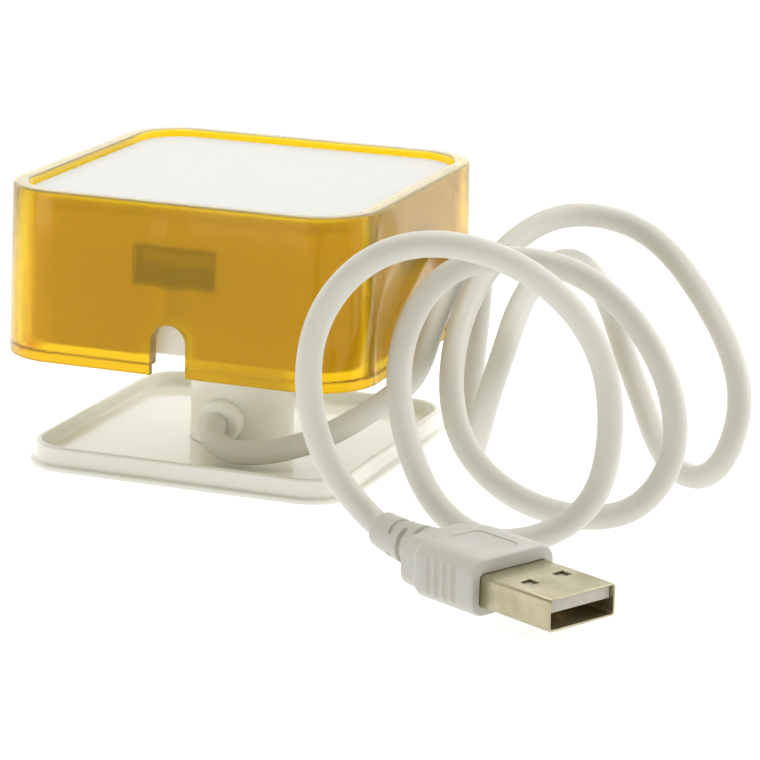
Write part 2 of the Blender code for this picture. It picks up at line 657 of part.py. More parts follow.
def make_plug_shell(metal):
    """The folded sheet shell, open at its mouth, with a pair of latch windows through its top and bottom."""
    width, height = PLUG_SHELL
    centre = PLUG_SHELL_LOW + height / 2
    outside = rounded(width, height, 0.5 * MM, 3)
    inside = rounded(width - 2 * SHEET, height - 2 * SHEET, 0.25 * MM, 3)
    rings = [
        [(x, y, z + centre) for y, z in outline]
        for x, outline in (
            (-PLUG_SHELL_LENGTH, outside), (0, outside), (0, inside), (-PLUG_SHELL_LENGTH, inside),
        )
    ]  # fmt: skip
    shell = skin("plug_shell", rings, metal, hollow=True)
    half_x, half_y = LATCH_WINDOW[0] / 2, LATCH_WINDOW[1] / 2
    cutters = []
    for side in (-1, 1):
        centre_x, centre_y = LATCH_PLACE[0], side * LATCH_PLACE[1]
        cutter = block(
            f"cut_latch_{'left' if side > 0 else 'right'}",
            (centre_x - half_x, centre_y - half_y, PLUG_SHELL_LOW - MM),
            (centre_x + half_x, centre_y + half_y, PLUG_SHELL_LOW + height + MM),
        )
        combine(shell, cutter)
        cutters.append(cutter)
    return shell, *cutters


def make_insulator(plastic, gold):
    """The plastic tongue inside the shell, and its four contacts, which face down."""
    width, height = PLUG_SHELL
    loose = 0.15 * MM
    half = width / 2 - SHEET - loose
    top = PLUG_SHELL_LOW + height - SHEET - loose
    low = PLUG_SHELL_LOW + SHEET + loose
    under = top - INSULATOR_THICKNESS
    back = (-PLUG_SHELL_LENGTH, -half, low), (INSULATOR_BLOCK_END, half, top)
    insulator = block("plug_insulator", *back, plastic)
    blade = block("join_insulator_blade", (INSULATOR_BLOCK_END - MM, -half, under), (INSULATOR_END, half, top))
    combine(insulator, blade, "UNION")
    contacts = []
    for number in range(4):
        centre_y = (number - 1.5) * CONTACT_SPACING
        low_corner = (CONTACT_SPAN[0], centre_y - CONTACT_WIDTH / 2, under - 0.3 * MM)
        high_corner = (CONTACT_SPAN[1], centre_y + CONTACT_WIDTH / 2, under - 0.1 * MM)
        contacts.append(block(f"plug_contact_{number + 1}", low_corner, high_corner, gold))
    return insulator, blade, *contacts


def make_plug(metal, soft_plastic, hard_plastic, gold):
    """A USB-A plug. It is modelled pointing along +X with its tip at the origin, then laid where it rests."""
    pose = bpy.data.objects.new("plug_pose", None)
    pose.location = (*PLUG_TIP, 0)
    pose.rotation_euler = (0, 0, PLUG_YAW)
    bpy.context.scene.collection.objects.link(pose)
    pieces = make_overmold(soft_plastic) + make_plug_shell(metal) + make_insulator(hard_plastic, gold)
    for obj in pieces:
        obj.parent = pose


def main():
    clear_scene()
    white = finish("gloss_white", (0.86, 0.86, 0.83), 0.25)
    amber = finish("amber", (0.85, 0.52, 0.05), 0.15, alpha=0.6)
    cord_grey = finish("cord_grey", (0.78, 0.78, 0.73), 0.45)
    steel = finish("nickel_steel", (0.72, 0.68, 0.58), 0.3, metallic=1.0)
    screw_steel = finish("screw_steel", (0.6, 0.6, 0.6), 0.35, metallic=1.0)
    black = finish("chip_black", (0.03, 0.03, 0.03), 0.5)
    green = finish("board_green", (0.03, 0.22, 0.08), 0.4)
    ivory = finish("ivory_plastic", (0.8, 0.78, 0.7), 0.4)
    gold = finish("contact_gold", (0.85, 0.62, 0.25), 0.3, metallic=1.0)
    rubber = finish("foot_rubber", (0.3, 0.3, 0.3), 0.8)

    make_sleeve(amber)
    make_cover(white)
    make_housing(white)
    make_column(white)
    make_tray(white)
    make_feet(rubber)
    make_screws(screw_steel)
    make_board(green)
    make_ports(steel, ivory)
    make_electronics(black, steel, black, ivory)
    make_gland(white)
    make_cords(cord_grey)
    make_plug(steel, cord_grey, ivory, gold)


main()
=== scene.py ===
import math

import bmesh
import bpy
import numpy as np
from mathutils import Matrix, Vector


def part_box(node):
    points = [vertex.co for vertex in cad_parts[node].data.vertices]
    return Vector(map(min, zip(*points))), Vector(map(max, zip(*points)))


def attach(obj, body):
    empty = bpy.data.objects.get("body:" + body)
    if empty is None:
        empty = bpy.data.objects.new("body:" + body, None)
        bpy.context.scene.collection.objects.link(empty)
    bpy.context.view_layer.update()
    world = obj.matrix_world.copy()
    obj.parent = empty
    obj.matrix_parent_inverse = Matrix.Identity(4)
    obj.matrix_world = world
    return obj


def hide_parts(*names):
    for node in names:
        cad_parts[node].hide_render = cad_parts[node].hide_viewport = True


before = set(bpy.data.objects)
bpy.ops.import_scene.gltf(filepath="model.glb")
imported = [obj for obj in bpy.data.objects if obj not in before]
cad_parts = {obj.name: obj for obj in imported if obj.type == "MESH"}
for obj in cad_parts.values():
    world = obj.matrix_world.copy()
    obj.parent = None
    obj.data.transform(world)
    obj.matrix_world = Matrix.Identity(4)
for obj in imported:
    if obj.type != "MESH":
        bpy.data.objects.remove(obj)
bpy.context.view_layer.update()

MM = 0.001

# What the frame says about the pieces' places and sizes.
SLEEVE_LOW, SLEEVE_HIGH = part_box("sleeve")
COVER_LOW, COVER_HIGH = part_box("top_cover")
HEAD_LOW, HEAD_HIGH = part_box("housing")
TRAY_LOW, TRAY_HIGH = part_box("base_tray")
COLUMN_LOW, COLUMN_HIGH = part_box("column")

SLEEVE_CORNER = 9.6 * MM
SLEEVE_DRAFT = 0.8 * MM
SLEEVE_WALL = 2.4 * MM
REBATE_HEIGHT = 1.4 * MM
REBATE_LIP = 1.05 * MM
NOTCH_WIDTH = 5.6 * MM
NOTCH_TOP = 25.5 * MM
HEAD_CORNER = 7.0 * MM
HEAD_WALL = 1.8 * MM
HEAD_FLOOR_THICKNESS = 1.6 * MM
GROOVE_DEPTH = 0.9 * MM
NUB_Y = 16.0 * MM
NUB_SIZE = (2.0 * MM, 1.2 * MM)
COVER_THICKNESS = 1.6 * MM
COLUMN_RADIUS = 8.0 * MM
COLUMN_BORE = 4.8 * MM
COLUMN_FLANGE = 2.5 * MM
TRAY_CORNER = 6.6 * MM
TRAY_SIDE = 50.8 * MM
TRAY_FLOOR = 1.8 * MM
TRAY_FLANGE = 0.7 * MM
TRAY_RIM_WIDTH = 1.2 * MM
PORT_HEIGHT = 33.6 * MM
PORT_SIZE = (13.1 * MM, 5.9 * MM)
PORT_MOUTH = 25.5 * MM
PORT_DEPTH = 14.0 * MM
PORT_WINDOW_GAP = 0.15 * MM
# The opening above a port's spring, in the port's own frame.
SPRING_LOW = (PORT_MOUTH - 9 * MM, -4.6 * MM, 2 * MM)
SPRING_HIGH = (PORT_MOUTH - 2.5 * MM, -2.6 * MM, 4 * MM)
SHEET = 0.3 * MM
GLAND_RADIUS = 3.4 * MM
GLAND_HEIGHT = 6.0 * MM
GLAND_BACK = 7.0 * MM
GLAND_FACE = 10.1 * MM
FREE_GAP = 0.3 * MM
# How far a cutter reaches past what it cuts.
PAST = 1.0 * MM

CORD_DIAMETER = 3.64 * MM
PLUG_TIP = (74.8 * MM, -65.2 * MM)
PLUG_YAW = math.radians(-27.8)
PLUG_AXIS_HEIGHT = 4.55 * MM
PLUG_SHELL = (12.0 * MM, 4.5 * MM)
PLUG_SHELL_LOW = 2.0 * MM
PLUG_SHELL_LENGTH = 15.6 * MM
LATCH_WINDOW = (2.0 * MM, 2.1 * MM)
LATCH_PLACE = (-7.0 * MM, 2.95 * MM)

# The plug's grip from back to front, in millimetres from the plug's tip: place along the plug, width,
# height, corner radius, and how far the change of slope there is smoothed.
GRIP_SECTIONS = [
    (-28.45, 7.0, 3.0, 1.0, 0), (-28.3, 12.6, 6.8, 2.0, 0.7), (-25.0, 13.2, 7.1, 2.1, 0.5),
    (-24.4, 14.6, 7.7, 2.3, 0.5), (-23.9, 15.0, 7.9, 2.4, 0.5), (-13.3, 15.0, 7.9, 2.4, 0.25),
    (-13.0, 14.6, 7.5, 2.2, 0.3), (-12.95, 5.0, 3.0, 1.0, 0),
]  # fmt: skip
GRIP_HALF_WIDTH = 7.5 * MM
GRIP_TOP = 8.5 * MM
GRIP_PANEL = (8.4 * MM, 6.4 * MM)
GRIP_PANEL_MIDDLE = -19.0 * MM
GRIP_PANEL_CORNER = 1.3 * MM
GRIP_PANEL_DEPTH = 0.14 * MM
GRIP_POCKET = (-15.8 * MM, -12.4 * MM)
FLUTE_START, FLUTE_STEP, FLUTE_COUNT = -21.3 * MM, 1.6 * MM, 4
FLUTE_RADIUS = 0.62 * MM
FLUTE_CENTRE = GRIP_HALF_WIDTH + 0.3 * MM
RELIEF_START = -27.8 * MM
RELIEF_LENGTH = 11.4 * MM
RELIEF_END_ANGLE = 0.24
RELIEF_RADIUS, RELIEF_TAPER = 3.4 * MM, 0.9 * MM
# The relief's rows of slots: the share of its length, and the angles at which its two slots are centred.
RELIEF_SLOTS = ((0.20, (90, 270)), (0.41, (0, 180)), (0.62, (90, 270)))
RELIEF_SLOT_HALF_ANGLE = 62
RELIEF_SLOT_HALF_WIDTH = 0.52 * MM
RELIEF_SLOT_FLOOR, RELIEF_SLOT_MOUTH = 2.45 * MM, 3.9 * MM
# The share of the relief's length at which its end starts to be rounded, and by how much it is.
RELIEF_END_START, RELIEF_END_ROUNDING = 0.94, 0.35 * MM

# The cord's route in millimetres, from the gland to the plug.
ROUTE = [
    (0, -10.5, 6), (1, -14, 5.2), (4.5, -16.5, 4.2), (10.5, -16, 4.5), (18, -12.5, 6.8),
    (25.5, -10.3, 11.7), (31.4, -10.3, 17.5), (32.6, -6.8, 23.4), (32.6, 2.5, 28.9),
    (32.5, 11, 32.2), (32, 17, 29.5), (31.5, 18.7, 22.5), (31.4, 17.2, 13.5),
    (32, 14, 5.8), (34.3, 7.8, 1.9), (37.6, 1, 5.2), (41, -4, 14), (43, -3.5, 21), (43, 3, 26),
    (44, 14, 30), (46.5, 22, 29), (49.5, 27, 22.5), (52.5, 26.5, 15.5), (58, 20, 8.5),
    (65, 10.5, 2.9), (71.5, 5.3, 2.8), (75.3, 3.8, 7), (76.5, 5.5, 14), (74, 9.5, 20.5),
    (66, 18, 28), (57, 23.5, 34), (49.5, 23, 36.5), (43, 18, 36.5), (38.5, 8.5, 33),
    (36.8, -3.5, 26.5), (38.5, -14, 17.5), (43, -19.5, 10), (51, -21.5, 4.5), (60.5, -19.5, 2),
    (67.5, -16.5, 3.5), (71.5, -14, 9.5), (71.5, -13, 18), (67, -13, 27.5), (58, -12.5, 35),
    (47.5, -13, 37), (39, -15, 35), (34.5, -18.5, 29.5), (34, -24, 21.5), (39, -32.5, 12.5),
    (45.5, -37.5, 6), (52, -37, 2.5), (58.5, -32.5, 2.5), (64, -29, 6.5), (66.5, -28, 14.5),
    (66, -30, 27), (61.5, -35, 37), (54, -41, 43.5), (45, -46, 45.5), (37.5, -49, 42.5),
    (32, -50.5, 35), (30.5, -50.5, 25), (32.3, -48.5, 15.1), (35.4, -46.6, 9.4),
    (38.5, -46.1, 6.2), (39.92, -46.81, 5.53),
]  # fmt: skip

# The camera, in millimetres and radians.
CAMERA_PLACE = (195.04, -473.20, 145.39)
CAMERA_YAW, CAMERA_PITCH, CAMERA_ROLL = 0.3663, 0.2511, 0.0219
LENS, SENSOR_WIDTH = 163.64, 36.0
SHIFT = (0.0713, -0.0275)

TENT_FRONT = (0.28, 0.27, 0.22)
TENT_BACK = (1.45, 1.45, 1.45)
BRIGHT_WAY = (0.1, 0.99, 0.0)
FLOOR_GLOW = 0.84
LIT_POINT = (0, 0, 0.03)
# Each softbox's name, place in metres, width in metres and power in watts.
SOFTBOXES = (
    ("left_softbox", (-0.25, 0.02, 0.10), 0.14, 0.09),
    ("right_softbox", (0.24, 0.10, 0.10), 0.14, 0.12),
    ("front_softbox", (-0.05, -0.45, 0.10), 0.25, 0.16),
    ("fill_softbox", (-0.24, -0.30, 0.05), 0.14, 0.10),
    ("top_softbox", (0.0, 0.05, 0.45), 0.30, 0.60),
)

SIDES = (("front", -90), ("right", 0), ("rear", 90), ("left", 180))
CORNERS = ("front_left", "front_right", "rear_right", "rear_left")


# ---------------------------------------------------------------- shapes


def link(name, mesh_data, material=None):
    obj = bpy.data.objects.new(name, mesh_data)
    bpy.context.scene.collection.objects.link(obj)
    if material is not None:
        mesh_data.materials.append(material)
    return obj


def shade(obj, degrees=35):
    obj.data.shade_smooth()
    obj.data.set_sharp_from_angle(angle=math.radians(degrees))


def skin(name, rings, material=None, hollow=False):
    """A body through rings of points. Its ends are capped, or joined to each other when it is hollow."""
    mesh = bmesh.new()
    loops = [[mesh.verts.new(point) for point in ring] for ring in rings]
    pairs = list(zip(loops, loops[1:]))
    if hollow:
        pairs.append((loops[-1], loops[0]))
    else:
        mesh.faces.new(reversed(loops[0]))
        mesh.faces.new(loops[-1])
    for low, high in pairs:
        for i in range(len(low)):
            j = (i + 1) % len(low)
            mesh.faces.new((low[i], low[j], high[j], high[i]))
    data = bpy.data.meshes.new(name)
    mesh.to_mesh(data)
    mesh.free()
    obj = link(name, data, material)
    shade(obj)
    return obj


def rounded(width, depth, radius, steps=14):
    """Outline of a rounded rectangle about the origin, anticlockwise."""
    outline = []
    for quarter, (side_x, side_y) in enumerate(((1, 1), (-1, 1), (-1, -1), (1, -1))):
        centre_x = side_x * (width / 2 - radius)
        centre_y = side_y * (depth / 2 - radius)
        for step in range(steps + 1):
            angle = (quarter + step / steps) * math.pi / 2
            outline.append((centre_x + radius * math.cos(angle), centre_y + radius * math.sin(angle)))
    return outline


def divided(outline, pieces=14):
    """A rounded rectangle's outline with each of its four straight sides split into equal pieces."""
    points = []
    quarter = len(outline) // 4
    for i, ((x0, y0), (x1, y1)) in enumerate(zip(outline, outline[1:] + outline[:1])):
        count = pieces if (i + 1) % quarter == 0 else 1
        points += [(x0 + (x1 - x0) * k / count, y0 + (y1 - y0) * k / count) for k in range(count)]
    return points


def circle(radius, steps=64, centre=(0.0, 0.0)):
    angles = [2 * math.pi * (step + 0.5) / steps for step in range(steps)]
    return [(centre[0] + radius * math.cos(a), centre[1] + radius * math.sin(a)) for a in angles]


def at_height(outline, z):
    return [(x, y, z) for x, y in outline]


def slab(name, outline, low, high, material=None):
    return skin(name, [at_height(outline, low), at_height(outline, high)], material)


def block(name, low, high, material=None):
    (x0, y0, z0), (x1, y1, z1) = low, high
    return slab(name, [(x0, y0), (x1, y0), (x1, y1), (x0, y1)], z0, z1, material)


def filleted(corners, closed=True, steps=5):
    """A profile's points with each corner (x, y, radius) rounded to its own radius."""
    points = []
    count = len(corners)
    for i, (x, y, radius) in enumerate(corners):
        here = Vector((x, y))
        if radius <= 0 or (not closed and i in (0, count - 1)):
            points.append((x, y))
            continue
        before = (Vector(corners[i - 1][:2]) - here).normalized()
        after = (Vector(corners[(i + 1) % count][:2]) - here).normalized()
        half = math.acos(max(-1.0, min(1.0, before.dot(after)))) / 2
        centre = here + (before + after).normalized() * (radius / math.sin(half))
        start = here + before * (radius / math.tan(half)) - centre
        end = here + after * (radius / math.tan(half)) - centre
        turn = start.angle_signed(end)
        for step in range(steps + 1):
            arm = Matrix.Rotation(-turn * step / steps, 2) @ start
            points.append(tuple(centre + arm))
    return points


def combine(target, other, operation="DIFFERENCE"):
    """Cuts other from target, or adds it, and removes other."""
    modifier = target.modifiers.new(other.name, "BOOLEAN")
    modifier.operation = operation
    modifier.object = other
    modifier.solver = "EXACT"
    graph = bpy.context.evaluated_depsgraph_get()
    result = bpy.data.meshes.new_from_object(target.evaluated_get(graph))
    target.modifiers.clear()
    target.data = result
    bpy.data.objects.remove(other)
    shade(target)


def soften(obj, width, segments=3, degrees=40):
    """Rounds a body's sharp edges."""
    weld = obj.modifiers.new("weld", "WELD")
    weld.merge_threshold = 0.002 * MM
    bevel = obj.modifiers.new("soften", "BEVEL")
    bevel.width = width
    bevel.segments = segments
    bevel.limit_method = "ANGLE"
    bevel.angle_limit = math.radians(degrees)
    bevel.harden_normals = False
    bevel.use_clamp_overlap = True
    graph = bpy.context.evaluated_depsgraph_get()
    result = bpy.data.meshes.new_from_object(obj.evaluated_get(graph))
    obj.modifiers.clear()
    obj.data = result
    shade(obj)


def smooth_curve(route, spacing):
    """Points evenly spaced on a natural cubic spline through the route's points, and its length."""
    points = np.array(route, float)
    knots = np.concatenate([[0], np.cumsum(np.linalg.norm(np.diff(points, axis=0), axis=1) ** 0.5)])
    gaps = np.diff(knots)
    count = len(points)
    system = np.eye(count)
    right = np.zeros((count, 3))
    for i in range(1, count - 1):
        system[i, i - 1 : i + 2] = gaps[i - 1], 2 * (gaps[i - 1] + gaps[i]), gaps[i]
        slopes = (points[i + 1] - points[i]) / gaps[i], (points[i] - points[i - 1]) / gaps[i - 1]
        right[i] = 6 * (slopes[0] - slopes[1])
    bends = np.linalg.solve(system, right)
    along = np.linspace(0, knots[-1], 40 * count)
    k = np.clip(np.searchsorted(knots, along) - 1, 0, count - 2)
    a = ((knots[k + 1] - along) / gaps[k])[:, None]
    b = 1 - a
    sixth = (gaps[k] ** 2 / 6)[:, None]
    curve = a * points[k] + b * points[k + 1] + ((a**3 - a) * bends[k] + (b**3 - b) * bends[k + 1]) * sixth
    lengths = np.concatenate([[0], np.cumsum(np.linalg.norm(np.diff(curve, axis=0), axis=1))])
    wanted = np.linspace(0, lengths[-1], round(lengths[-1] / spacing) + 1)
    even = np.stack([np.interp(wanted, lengths, curve[:, axis]) for axis in range(3)], axis=1)
    return even, lengths[-1]


# ---------------------------------------------------------------- materials


def principled(name, colour, roughness, **sockets):
    """A Principled material, its node tree and its shader. Each socket is named with _ for a space."""
    material = bpy.data.materials.new(name)
    material.use_nodes = True
    tree = material.node_tree
    shader = tree.nodes["Principled BSDF"]
    shader.inputs["Base Color"].default_value = (*colour, 1.0)
    shader.inputs["Roughness"].default_value = roughness
    for socket, value in sockets.items():
        shader.inputs[socket.replace("_", " ")].default_value = value
    return material, tree, shader


def noise(tree, scale, detail=3.0, rough=0.5, stretch=(1, 1, 1)):
    """Noise in object space. scale is in cells per metre."""
    coordinates = tree.nodes.new("ShaderNodeTexCoord")
    mapping = tree.nodes.new("ShaderNodeMapping")
    mapping.inputs["Scale"].default_value = stretch
    texture = tree.nodes.new("ShaderNodeTexNoise")
    texture.inputs["Scale"].default_value = scale
    texture.inputs["Detail"].default_value = detail
    texture.inputs["Roughness"].default_value = rough
    tree.links.new(coordinates.outputs["Object"], mapping.inputs["Vector"])
    tree.links.new(mapping.outputs["Vector"], texture.inputs["Vector"])
    return texture.outputs["Fac"]


def mapped(tree, value, low, high, to_low, to_high):
    node = tree.nodes.new("ShaderNodeMapRange")
    for name, number in (("From Min", low), ("From Max", high), ("To Min", to_low), ("To Max", to_high)):
        node.inputs[name].default_value = number
    tree.links.new(value, node.inputs["Value"])
    return node.outputs["Result"]


def colour_mix(tree, factor, first, second):
    """Runs from the first colour to the second. The first may also be another node's output."""
    mix = tree.nodes.new("ShaderNodeMix")
    mix.data_type = "RGBA"
    if isinstance(first, tuple):
        mix.inputs["A"].default_value = (*first, 1.0)
    else:
        tree.links.new(first, mix.inputs["A"])
    mix.inputs["B"].default_value = (*second, 1.0)
    tree.links.new(factor, mix.inputs["Factor"])
    return mix.outputs["Result"]


def tinted(tree, shader, factor, first, second):
    """Lets the base colour run between two colours."""
    tree.links.new(colour_mix(tree, factor, first, second), shader.inputs["Base Color"])


def bumped(tree, shader, height, strength, distance):
    bump = tree.nodes.new("ShaderNodeBump")
    bump.inputs["Strength"].default_value = strength
    bump.inputs["Distance"].default_value = distance
    tree.links.new(height, bump.inputs["Height"])
    tree.links.new(bump.outputs["Normal"], shader.inputs["Normal"])


def amber_plastic():
    """Translucent amber, which passes most light and scatters the rest.

    Its upper edge is painted paler, a painted glow of light in the rim, and its foot painted deeper, a
    painted shade.
    """
    material, tree, shader = principled(
        "amber_plastic", (0.97, 0.66, 0.006), 0.14, Transmission_Weight=0.84, IOR=1.58,
        Specular_Tint=(1.0, 0.5, 0.0, 1.0), Subsurface_Weight=1.0, Subsurface_Scale=4.0 * MM,
        Subsurface_Radius=(1.0, 0.6, 0.1), Coat_Weight=0.3, Coat_Roughness=0.05, Coat_IOR=1.6,
    )  # fmt: skip
    patches = mapped(tree, noise(tree, 45, 2.0), 0.3, 0.7, 0, 1)
    wall = colour_mix(tree, patches, (0.97, 0.645, 0.005), (0.975, 0.655, 0.008))
    coordinates = tree.nodes.new("ShaderNodeTexCoord")
    split = tree.nodes.new("ShaderNodeSeparateXYZ")
    tree.links.new(coordinates.outputs["Object"], split.inputs["Vector"])
    height = split.outputs["Z"]
    # Painted shade: the foot's deeper colour tones down the light passing through the wall's lower band.
    foot = mapped(tree, height, SLEEVE_LOW.z + 1.3 * MM, SLEEVE_LOW.z + 4 * MM, 1, 0)
    wall = colour_mix(tree, foot, wall, (0.86, 0.51, 0.006))
    # Painted highlight: the upper edge's paler colour stands in for light glowing in the rim.
    edge = mapped(tree, height, SLEEVE_HIGH.z - 0.45 * MM, SLEEVE_HIGH.z - 0.05 * MM, 0, 1)
    tree.links.new(colour_mix(tree, edge, wall, (1.0, 0.96, 0.50)), shader.inputs["Base Color"])
    return material


def white_gloss():
    """Moulded glossy white, slightly warm, with a faint flow and a little dust in its gloss."""
    material, tree, shader = principled("white_gloss", (0.9, 0.895, 0.81), 0.1)
    flow = noise(tree, 60, 3.0)
    tinted(tree, shader, mapped(tree, flow, 0.3, 0.7, 0, 1), (0.895, 0.89, 0.80), (0.905, 0.90, 0.82))
    tree.links.new(mapped(tree, noise(tree, 900, 4.0), 0.3, 0.7, 0.08, 0.13), shader.inputs["Roughness"])
    bumped(tree, shader, noise(tree, 150, 2.0), 0.03, 0.1 * MM)
    return material


def pvc(name, first, second, grain):
    """Soft satin PVC with a fine skin."""
    material, tree, shader = principled(
        name, first, 0.42, Subsurface_Weight=0.15, Subsurface_Scale=1.2 * MM, Specular_IOR_Level=0.45
    )
    tinted(tree, shader, mapped(tree, noise(tree, 70, 3.0), 0.3, 0.7, 0, 1), first, second)
    tree.links.new(mapped(tree, noise(tree, 1500, 3.0), 0.3, 0.7, 0.36, 0.48), shader.inputs["Roughness"])
    bumped(tree, shader, noise(tree, grain, 3.0), 0.12, 0.05 * MM)
    return material


def nickel():
    """Nickel-plated sheet: warm, brushed along its length, with scratches and dull stains."""
    material, tree, shader = principled("nickel_sheet", (0.53, 0.485, 0.335), 0.3, Metallic=1.0)
    stains = noise(tree, 260, 5.0, 0.6)
    tinted(tree, shader, mapped(tree, stains, 0.35, 0.75, 0, 1), (0.53, 0.485, 0.335), (0.42, 0.38, 0.25))
    scratches = noise(tree, 900, 4.0, 0.6, (0.08, 1, 1))
    tree.links.new(mapped(tree, stains, 0.3, 0.7, 0.3, 0.45), shader.inputs["Roughness"])
    bumped(tree, shader, scratches, 0.15, 0.03 * MM)
    return material


def plain(name, colour, roughness, other, grain=800, **sockets):
    """A plain material with a little variation of colour and gloss."""
    material, tree, shader = principled(name, colour, roughness, **sockets)
    tinted(tree, shader, mapped(tree, noise(tree, grain, 3.0), 0.3, 0.7, 0, 1), colour, other)
    tree.links.new(
        mapped(tree, noise(tree, grain * 1.7, 3.0), 0.3, 0.7, roughness * 0.8, roughness * 1.2),
        shader.inputs["Roughness"],
    )
    return material


AMBER = amber_plastic()
WHITE = white_gloss()
# The cover's satin gloss is real; its greyer base colour is painted shade, darker than the other whites to
# offset the light on the hub's top.
PLATE_PAINTED_SHADE = plain("satin_white_painted_shade", (0.71, 0.71, 0.685), 0.5, (0.70, 0.70, 0.675))
CORD = pvc("cord_pvc", (0.65, 0.64, 0.57), (0.69, 0.68, 0.61), 1800)
MOULD = pvc("mould_pvc", (0.56, 0.555, 0.495), (0.59, 0.585, 0.525), 1300)
NICKEL = nickel()
SCREW = plain("screw_steel", (0.62, 0.62, 0.63), 0.3, (0.52, 0.52, 0.54), Metallic=1.0)
GOLD = plain("contact_gold", (0.85, 0.64, 0.28), 0.28, (0.78, 0.56, 0.22), Metallic=1.0)
IVORY = plain("ivory_nylon", (0.55, 0.52, 0.44), 0.4, (0.51, 0.48, 0.41))
# Painted shade: a darkened copy of the ivory nylon, standing in for the shade inside the ports.
IVORY_PAINTED_SHADE = plain("ivory_nylon_painted_shade", (0.30, 0.28, 0.22), 0.4, (0.27, 0.25, 0.2))
GREEN = plain("solder_resist", (0.03, 0.2, 0.08), 0.3, (0.02, 0.15, 0.06), 250, Coat_Weight=0.5)
BLACK = plain("moulded_black", (0.025, 0.025, 0.027), 0.5, (0.04, 0.04, 0.042))
RUBBER = plain("foot_rubber", (0.25, 0.25, 0.25), 0.75, (0.32, 0.32, 0.31))


# ---------------------------------------------------------------- camera, cord


def make_camera():
    """The camera stands in front and to the right of the hub, and looks slightly down at it."""
    level = Vector((-math.sin(CAMERA_YAW), math.cos(CAMERA_YAW), 0))
    forward = level * math.cos(CAMERA_PITCH) - Vector((0, 0, math.sin(CAMERA_PITCH)))
    right = Vector((math.cos(CAMERA_YAW), math.sin(CAMERA_YAW), 0))
    up = right.cross(forward)
    across = right * math.cos(CAMERA_ROLL) + up * math.sin(CAMERA_ROLL)
    over = up * math.cos(CAMERA_ROLL) - right * math.sin(CAMERA_ROLL)
    data = bpy.data.cameras.new("camera")
    data.sensor_width = SENSOR_WIDTH
    data.lens = LENS
    data.shift_x, data.shift_y = SHIFT
    camera = bpy.data.objects.new("camera", data)
    bpy.context.scene.collection.objects.link(camera)
    turn = Matrix((across, over, -forward)).transposed()
    camera.matrix_world = Matrix.Translation(Vector(CAMERA_PLACE) * MM) @ turn.to_4x4()
    bpy.context.scene.camera = camera


def make_cord():
    points, length = smooth_curve([Vector(p) * MM for p in ROUTE], 0.9 * MM)
    data = bpy.data.curves.new("usb_cord", "CURVE")
    data.dimensions = "3D"
    data.bevel_depth = CORD_DIAMETER / 2
    data.bevel_resolution = 8
    data.use_fill_caps = True
    spline = data.splines.new("POLY")
    spline.points.add(len(points) - 1)
    for target, point in zip(spline.points, points):
        target.co = (*point, 1.0)
    spline.use_smooth = True
    cord = link("usb_cord", data, CORD)
    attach(cord, "stand")
    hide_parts("cord", "cord_inner")
    return cord, length


# ---------------------------------------------------------------- hub


def ring_on_square(profile, side, corner, low, draft=0.0, height=1.0):
    """Rings for (inset, z) points carried round a rounded square that narrows upwards by draft."""
    rings = []
    for inset, z in profile:
        here = side - draft * (z - low) / height - 2 * inset
        outline = rounded(here, here, max(corner - inset, 0.3 * MM))
        rings.append(at_height(divided(outline), z))
    return rings


def make_sleeve():
    low, high = SLEEVE_LOW.z, SLEEVE_HIGH.z
    side = SLEEVE_HIGH.x - SLEEVE_LOW.x
    step = low + REBATE_HEIGHT
    profile = filleted(
        [
            (0, low, 0.25 * MM), (0, high, 0.4 * MM), (SLEEVE_WALL, high, 0.3 * MM),
            (SLEEVE_WALL, step, 0.2 * MM), (REBATE_LIP, step, 0.15 * MM), (REBATE_LIP, low, 0.2 * MM),
        ]
    )  # fmt: skip
    rings = ring_on_square(profile, side, SLEEVE_CORNER, low, SLEEVE_DRAFT, high - low)
    sleeve = skin("amber_sleeve", rings, AMBER, True)

    half = NOTCH_WIDTH / 2
    spring = NOTCH_TOP - half
    turns = [math.pi * k / 24 for k in range(25)]
    arch = [(half * math.cos(turn), spring + half * math.sin(turn)) for turn in turns]
    arch += [(-half, low - 2 * PAST), (half, low - 2 * PAST)]
    outside, inside = side / 2 + 2 * PAST, side / 2 - 2 * SLEEVE_WALL
    notch = skin("cut_notch", [[(x, -inside, z) for x, z in arch], [(x, -outside, z) for x, z in arch]])
    combine(sleeve, notch)
    add_nubs(sleeve, side)
    soften(sleeve, 0.18 * MM, 3, 50)
    dress(sleeve, "sleeve", "sleeve")


def add_nubs(sleeve, side):
    """The two nubs inside the sleeve that run in the head's grooves and stop it."""
    wide, tall = NUB_SIZE
    top = COVER_HIGH.z - COVER_THICKNESS - FREE_GAP
    rooted = side / 2 - SLEEVE_WALL / 2 - 0.2 * MM
    for way in (-1, 1):
        inner, outer = sorted((way * (HEAD_HIGH.x - GROOVE_DEPTH / 2), way * rooted))
        nub = block("join_nub", (inner, NUB_Y - wide / 2, top - tall), (outer, NUB_Y + wide / 2, top))
        combine(sleeve, nub, "UNION")


def make_cover():
    side = COVER_HIGH.x - COVER_LOW.x
    bottom = COVER_HIGH.z - COVER_THICKNESS
    corner = HEAD_CORNER + 0.1 * MM
    top = COVER_HIGH.z
    profile = filleted(
        [(0.15 * MM, bottom, 0), (0, bottom, 0.1 * MM), (0, top, 0.35 * MM), (2 * MM, top, 0)], False
    )
    # The cover's greyer base colour is painted shade.
    cover = skin("cover_plate", ring_on_square(profile, side, corner, bottom), PLATE_PAINTED_SHADE)
    dress(cover, "top_cover")


